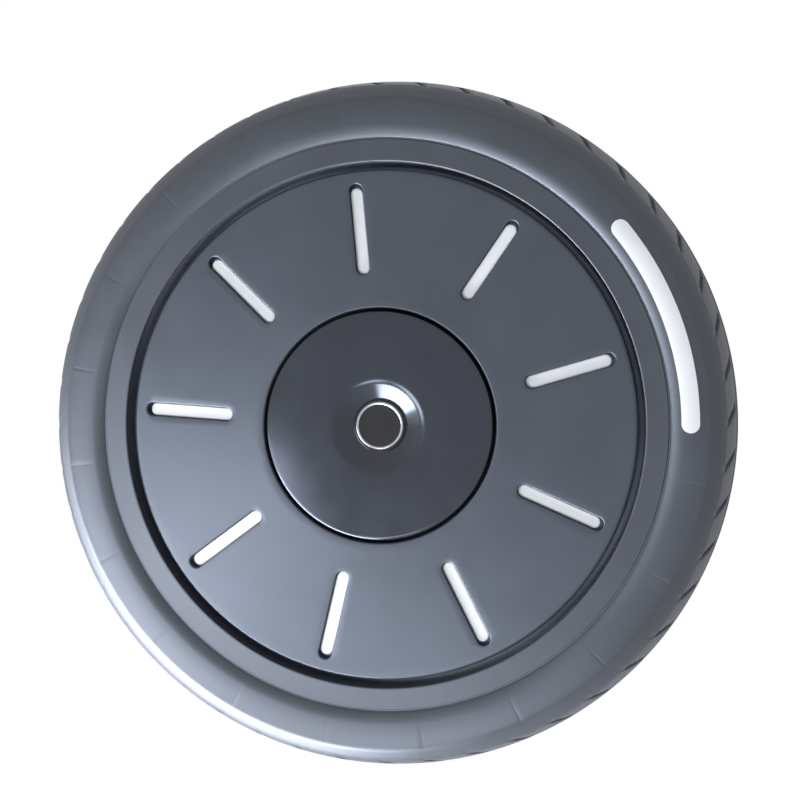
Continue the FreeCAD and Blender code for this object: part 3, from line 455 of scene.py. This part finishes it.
# hub: one casting with nine blind slots cut square to its shallow cone
hubSpec = {
    "innerRadius": 43.5, "innerFront": 36.2, "outerRadius": 92, "outerFront": 32.5,
    "slotCount": 9, "slotAngle": 16.1, "slotInner": 55.2, "slotOuter": 88.6, "slotWidth": 5, "slotDepth": 3.2,
    "slotEdge": 0.4, "columnsPerSlot": 80, "sideSteps": 36,
    "netSteps": (0, 0.25, 0.5, 0.75, 0.9),  # from the border of a slot's ninth of the disc to its edge
}
quarterTurn = (0, 0.4, 0.8, 1.2, math.pi / 2)  # steps round a softened edge
coneFall = hubSpec["innerFront"] - hubSpec["outerFront"]
coneTilt = math.atan(coneFall / (hubSpec["outerRadius"] - hubSpec["innerRadius"]))
coneApex = hubSpec["innerFront"] + hubSpec["innerRadius"] * math.tan(coneTilt)


# a point given along the slot, across it and above the cone, for the slot at this angle
def onCone(along, across, lift, angle):
    radius = math.hypot(along, across)
    front = coneApex - radius * math.tan(coneTilt) + lift * math.cos(coneTilt)
    out = Vector((along + lift * math.sin(coneTilt), across))
    c, s = math.cos(angle), math.sin(angle)
    return ((out.x * c - out.y * s) * mm, -front * mm, (out.x * s + out.y * c) * mm)


def makeHub(spec):
    columns = spec["columnsPerSlot"]
    pitch = 2 * math.pi / spec["slotCount"]
    start = math.radians(spec["slotAngle"]) - pitch / 2
    angles = [start + pitch * k / columns for k in range(columns * spec["slotCount"])]
    # flange, well, back flange, cover seat, motor chamber, bearing seat and cap recess, as in the CAD
    outer = [(spec["outerRadius"], spec["outerFront"], 1.5), (93.4, 31.1), (93.4, 24.1, 1.6), (91.4, 22.5),
             (84.5, 22.5, -1.95), (82.55, 20.9), (82.55, 11), (75.5, 7), (75.5, -7), (82.55, -11),
             (82.55, -20.9, -1.95), (84.5, -22.5), (91.4, -22.5, 1.6), (93, -24.1), (93, -25, 2), (91, -27),
             (81, -27), (81, -25),
             (69.5, -25), (69.5, 17.5), (68.3, 17.5), (68.3, 19), (79, 22.5), (79, 28.5), (50, 28.5),
             (46, 25.5), (22.5, 25.5), (22.5, 9), (17.5, 9), (17.5, 20), (14.5, 20), (14.5, 23), (0, 23),
             (0, 30), (42.7, 30), (42.7, 35.4, 0.8), (spec["innerRadius"], spec["innerFront"])]
    section = traceSection(outer, 11)
    points = [spin(r, f, a) for r, f in section for a in angles]
    faces = gridFaces(len(section), len(angles), closedRows=False)

    halfWidth, edge = spec["slotWidth"] / 2, spec["slotEdge"]
    firstMid, lastMid = spec["slotInner"] + halfWidth, spec["slotOuter"] - halfWidth
    rim = [(spec["outerRadius"], -pitch / 2 + pitch * k / columns) for k in range(columns)]
    sideSteps = spec["sideSteps"]
    span = spec["outerRadius"] - spec["innerRadius"]
    rim += [(spec["outerRadius"] - span * k / sideSteps, pitch / 2) for k in range(sideSteps)]
    rim += [(spec["innerRadius"], pitch / 2 - pitch * k / columns) for k in range(columns)]
    rim += [(spec["innerRadius"] + span * k / sideSteps, -pitch / 2) for k in range(sideSteps)]
    rounding = [(edge * (1 - math.sin(q)), -edge * (1 - math.cos(q))) for q in quarterTurn]
    for slot in range(spec["slotCount"]):
        angle = math.radians(spec["slotAngle"]) + pitch * slot
        base = len(points)
        rows = []
        for radius, turn in rim:
            edgePoint = Vector((radius * math.cos(turn), radius * math.sin(turn)))
            middle = Vector((min(max(edgePoint.x, firstMid), lastMid), 0))
            way = edgePoint - middle
            reach, way = way.length, way.normalized()
            row = [onCone(*(middle + way * (reach + (halfWidth + edge - reach) * q)), 0, angle)
                   for q in spec["netSteps"]]
            row += [onCone(*(middle + way * (halfWidth + out)), lift, angle) for out, lift in rounding]
            row.append(onCone(*(middle + way * halfWidth), -spec["slotDepth"], angle))
            rows.append(row)
        depth = len(rows[0])
        points += [point for row in rows for point in row]
        for i in range(len(rim)):
            here, after = base + i * depth, base + (i + 1) % len(rim) * depth
            faces += [(here + j, after + j, after + j + 1, here + j + 1) for j in range(depth - 1)]
        faces.append([base + i * depth + depth - 1 for i in range(len(rim))])
    return finishMesh("hub_casting", points, faces, [paint], "wheel", "wheel_hub", 40)


makeHub(hubSpec)

# white bars in the slots, with softened upper edges
stripSpec = {"inner": 55.35, "outer": 87.3, "width": 4.7, "below": 1.5, "edge": 0.5, "crownShare": 0.4,
             "crownRise": 0.08, "endSteps": 16}


def makeStrips(spec):
    points, faces = [], []
    half = spec["width"] / 2
    ways = [math.radians(-90 + 180 * k / spec["endSteps"]) for k in range(spec["endSteps"] + 1)]
    ends = [(spec["outer"] - half, w) for w in ways] + [(spec["inner"] + half, w + math.pi) for w in ways]
    levels = [(half, -hubSpec["slotDepth"])]
    levels += [(half - spec["edge"] * (1 - math.cos(q)), -spec["below"] - spec["edge"] * (1 - math.sin(q)))
               for q in quarterTurn]
    levels += [(half * spec["crownShare"], -spec["below"] + spec["crownRise"])]
    for slot in range(hubSpec["slotCount"]):
        angle = math.radians(hubSpec["slotAngle"]) + 2 * math.pi * slot / hubSpec["slotCount"]
        base = len(points)
        for out, lift in levels:
            points += [onCone(middle + out * math.cos(w), out * math.sin(w), lift, angle)
                       for middle, w in ends]
        sides = gridFaces(len(levels), len(ends), closedRows=False)
        faces += [tuple(base + v for v in face) for face in sides]
        faces.append([base + k for k in range(len(ends))])
        faces.append([base + (len(levels) - 1) * len(ends) + k for k in range(len(ends))])
    return finishMesh("reflector_bars", points, faces, [finishes["polycarbonateWhiteMoulded"]], "wheel",
                      "reflector_strips")


makeStrips(stripSpec)
print("stage: hub and bars ready")

# centre cap: soft lip round a conical bowl, snap skirt behind
capSpec = {"radius": 41.7, "edgeFront": 37.3, "edgeRound": 1.3, "edgeEase": 0.1, "lipFront": 38.6,
           "bowlRadius": 9.2, "bowlFront": 33.8, "bowlWall": 5.8, "bowlSlope": 34, "bowlFillet": 0.3,
           "steps": 288}


def makeCap(spec):
    slope = math.radians(spec["bowlSlope"])
    reach = spec["bowlFillet"] * math.tan(slope / 2)
    foot = (spec["bowlRadius"] + reach * math.cos(slope), spec["bowlFront"] + reach * math.sin(slope))
    wall = (spec["bowlRadius"] + spec["bowlWall"], spec["bowlFront"] + spec["bowlWall"] * math.tan(slope))
    lipBend = (spec["lipFront"] - wall[1]) / (1 - math.cos(slope))
    lip = wall[0] + lipBend * math.sin(slope)
    flat = spec["radius"] - spec["edgeRound"]
    fall = crestArc(flat - lip, spec["lipFront"] - spec["edgeFront"])
    section = traceSection([
        (0, spec["bowlFront"]), (spec["bowlRadius"] - reach, spec["bowlFront"], -spec["bowlFillet"]), foot,
        (*wall, lipBend), (lip, spec["lipFront"], fall),
        (flat, spec["edgeFront"], spec["edgeRound"] + spec["edgeEase"]),
        (spec["radius"], spec["edgeFront"] - spec["edgeRound"]),
        # snap skirt and inside, as in the CAD
        (spec["radius"], 33.2), (42.95, 32.2), (42.95, 31.6), (spec["radius"], 30.6), (39.7, 30.6),
        (39.7, 35.2), (23.5, 36.5), (wall[0] + 1.1, wall[1] - 1.7), (10.2, 31.4), (0, 31.4)], 3)
    points, faces = turnSection(section, evenAngles(spec["steps"]))
    return finishMesh("cap_moulded", points, faces, [capPlastic], "wheel", "hub_cap", 40)


makeCap(capSpec)

# medallion: plain domed face inside a bright raised rim
badgeSpec = {"radius": 8.8, "rim": 1.15, "rimSwell": 0.55, "sunk": 0.2, "front": 34.7, "back": 33.8,
             "rimSlack": 0.01, "steps": 160}


def makeBadge(spec):
    inside = spec["radius"] - spec["rim"]
    dome = crestArc(inside, spec["sunk"])
    section = traceSection([
        (0, spec["front"], dome), (inside, spec["front"] - spec["sunk"]),
        (inside, spec["front"], spec["rim"] * spec["rimSwell"]),
        (spec["radius"], spec["front"]), (spec["radius"], spec["back"]), (0, spec["back"])], 8)
    points, faces = turnSection(section, evenAngles(spec["steps"]))
    looks = [finishes["absMouldedGlossBlack"], finishes["chromePlatedAbs"]]
    badge = finishMesh("badge_medallion", points, faces, looks, "wheel", "badge", 40)
    for face in badge.data.polygons:
        if math.hypot(face.center.x, face.center.z) > (inside - spec["rimSlack"]) * mm:
            face.material_index = 1
    return badge


makeBadge(badgeSpec)

# sidewall label: thin film that follows the swell of the sidewall, with round ends
labelSpec = {"inner": 108.6, "outer": 115.1, "angle": 19.8, "halfAngle": 19.3, "thickness": 0.25,
             "clearance": 0.02, "rows": 14, "columns": 72, "endSteps": 14}


def wallFront(radius):
    crestRadius, top = crest
    bend = wallInner if radius < crestRadius else wallOuter
    return top - bend + math.sqrt(bend * bend - (radius - crestRadius) ** 2)


def makeLabel(spec):
    middle, half = (spec["inner"] + spec["outer"]) / 2, (spec["outer"] - spec["inner"]) / 2
    turns = [math.radians(spec["halfAngle"]) * (2 * k / spec["columns"] - 1)
             for k in range(spec["columns"] + 1)]
    endTurn = half / middle
    caps = [math.sin(math.pi / 2 * k / spec["endSteps"]) for k in range(1, spec["endSteps"] + 1)]
    spans = [(turns[0] - endTurn * c, math.sqrt(1 - c * c)) for c in reversed(caps)]
    spans += [(turn, 1) for turn in turns]
    spans += [(turns[-1] + endTurn * c, math.sqrt(1 - c * c)) for c in caps]
    points = []
    for lift in (spec["thickness"], spec["clearance"]):
        for turn, share in spans:
            angle = math.radians(spec["angle"]) + turn
            for k in range(spec["rows"] + 1):
                radius = middle + half * share * (2 * k / spec["rows"] - 1)
                points.append(spin(radius, wallFront(radius) + lift, angle))
    rows, columns = len(spans), spec["rows"] + 1
    size = rows * columns
    sheet = gridFaces(rows, columns, False, False)
    faces = sheet + [tuple(v + size for v in reversed(face)) for face in sheet]
    ring = [i * columns for i in range(rows)] + [(rows - 1) * columns + j for j in range(1, columns)]
    ring += [i * columns + columns - 1 for i in range(rows - 2, -1, -1)] + list(range(columns - 2, 0, -1))
    faces += [(a, b, b + size, a + size) for a, b in zip(ring, ring[1:] + ring[:1])]
    return finishMesh("label_film", points, faces, [finishes["vinylFilmWhite"]], "wheel",
                      "sidewall_label", 40)


makeLabel(labelSpec)
print("stage: cap, medallion and label ready")

# the turned, bought-in and hidden pieces keep their CAD shape
nodeFinish = {
    "back_cover": "castAluminiumTurnedPainted", "cover_screws": "zincPlatedSteel",
    "cover_seal_ring": "nitrileRubberMoulded", "oil_seal": "nitrileRubberMoulded",
    "outer_bearing_inner_ring": "groundBearingSteel", "outer_bearing_outer_ring": "groundBearingSteel",
    "inner_bearing_inner_ring": "groundBearingSteel", "inner_bearing_outer_ring": "groundBearingSteel",
    "outer_bearing_seals": "nitrileRubberMoulded", "inner_bearing_seals": "nitrileRubberMoulded",
    "axle": "turnedSteelBare", "stator_key": "turnedSteelBare", "axle_circlip": "springSteelOiled",
    "stator_carrier": "castAluminiumBare", "stator_core": "electricalSteelStamped",
    "stator_insulator_front": "nylonMouldedNatural", "stator_insulator_back": "nylonMouldedNatural",
    "windings": "enamelledCopperWire", "hall_board": "circuitBoardSolderResist",
    "hall_sensors": "epoxyMouldedBlack",
    "flux_ring": "electricalSteelStamped", "magnets": "nickelPlatedMagnet", "valve_stem": "machinedBrass",
    "valve_gasket": "nitrileRubberMoulded", "valve_core": "machinedBrass", "valve_nut": "machinedBrass",
    "valve_cap": "polypropyleneMouldedBlack",
}
for nodeName, finish in nodeFinish.items():
    mesh = nodes[nodeName].data
    mesh.materials.clear()
    mesh.materials.append(finishes[finish])
print("stage: turned and bought-in pieces ready")

# plain pale floor well below the wheel, which hangs on its axle, and a white room
stageSpec = {"floorDrop": 1.1, "floorSize": 60, "white": "#ffffff", "paper": "#d8d8d8", "floorGlow": 0.85,
             "roomLight": 0.22}


# 1 for what the camera sees, straight or in a reflection, and 0 for the light that falls on the wheel
def seenShare(tree):
    rays = addNode(tree, "ShaderNodeLightPath", {})
    return reckon(tree, "MAXIMUM", rays.outputs["Is Camera Ray"], rays.outputs["Is Glossy Ray"])


def makeStage(spec):
    mesh = bpy.data.meshes.new("floor")
    s = spec["floorSize"] / 2
    mesh.from_pydata([(-s, -s, 0), (s, -s, 0), (s, s, 0), (-s, s, 0)], [], [(0, 1, 2, 3)])
    floor = addObject("floor", mesh)
    floor.location.z = -spec["floorDrop"]
    material = bpy.data.materials.new("paperFloorWhite")
    material.use_nodes = True
    tree = material.node_tree
    tree.nodes.clear()
    glow = reckon(tree, "MULTIPLY", seenShare(tree), spec["floorGlow"])
    paper = addNode(tree, "ShaderNodeBsdfDiffuse", {"Color": toLinear(spec["paper"])})
    light = addNode(tree, "ShaderNodeEmission", {"Color": toLinear(spec["white"]), "Strength": glow})
    both = addNode(tree, "ShaderNodeAddShader", {0: paper.outputs[0], 1: light.outputs[0]})
    addNode(tree, "ShaderNodeOutputMaterial", {"Surface": both.outputs[0]})
    mesh.materials.append(material)

    world = bpy.data.worlds.new("whiteRoom")
    bpy.context.scene.world = world
    world.use_nodes = True
    tree = world.node_tree
    tree.nodes.clear()
    level = remap(tree, seenShare(tree), onto=(spec["roomLight"], 1))
    light = addNode(tree, "ShaderNodeBackground", {"Color": toLinear(spec["white"]), "Strength": level})
    addNode(tree, "ShaderNodeOutputWorld", {"Surface": light.outputs[0]})


makeStage(stageSpec)

# two soft windows ahead, one at the lower left and one low; two long ones at the side, of which the nearer
# draws the bowl and the farther the tyre's shoulder; and a fill behind the wheel
lampSpec = {
    "windowFront": {"azimuth": -36, "elevation": -17.5, "roll": 0, "away": 0.85, "wide": 0.36, "tall": 0.36,
                    "watts": 4.4},
    "windowLow": {"azimuth": -7, "elevation": -33.5, "roll": 0, "away": 0.85, "wide": 0.25, "tall": 0.25,
                  "watts": 1.5},
    "windowSide": {"azimuth": -66, "elevation": -49, "roll": 24, "away": 0.85, "wide": 0.28, "tall": 0.9,
                   "watts": 22},
    "windowEdge": {"azimuth": -84, "elevation": -40, "roll": 5, "away": 0.85, "wide": 0.3, "tall": 1.2,
                   "watts": 11},
    "fillBack": {"azimuth": -165, "elevation": 10, "roll": 0, "away": 1.2, "wide": 0.8, "tall": 0.8,
                 "watts": 7},
}
lampColour = "#f4f7ff"


# from the wheel's centre, with azimuth 0 straight ahead of its outer face
def wayTo(spec):
    a, e = math.radians(spec["azimuth"]), math.radians(spec["elevation"])
    return Vector((math.sin(a) * math.cos(e), -math.cos(a) * math.cos(e), math.sin(e)))


def makeLamps(spec):
    for name, lamp in spec.items():
        light = bpy.data.lights.new(name, "AREA")
        light.shape = "RECTANGLE"
        light.size, light.size_y = lamp["wide"], lamp["tall"]
        light.energy = lamp["watts"]
        light.color = toLinear(lampColour)[:3]
        holder = addObject(name, light)
        holder.visible_camera = False
        way = wayTo(lamp)
        holder.location = way * lamp["away"]
        roll = Quaternion((0, 0, 1), math.radians(lamp["roll"]))
        holder.rotation_euler = ((-way).to_track_quat("-Z", "Y") @ roll).to_euler()


makeLamps(lampSpec)

# the photograph's view: a little from the right and a little from above
cameraSpec = {"azimuth": 9.5, "elevation": 1.5, "away": 0.7, "aheadOfCentre": 0.004, "lens": 82.8,
              "sensor": 36, "shiftX": 0.0081, "shiftY": 0.0293}


def makeCamera(spec):
    camera = bpy.data.cameras.new("camera")
    camera.lens = spec["lens"]
    camera.sensor_width = spec["sensor"]
    camera.shift_x, camera.shift_y = spec["shiftX"], spec["shiftY"]
    holder = addObject("camera", camera)
    way = wayTo(spec)
    holder.location = way * spec["away"] + Vector((0, -spec["aheadOfCentre"], 0))
    holder.rotation_euler = (-way).to_track_quat("-Z", "Y").to_euler()
    bpy.context.scene.camera = holder


makeCamera(cameraSpec)
bpy.context.scene.view_settings.view_transform = "Standard"
print("stage: room, lamps and camera ready")
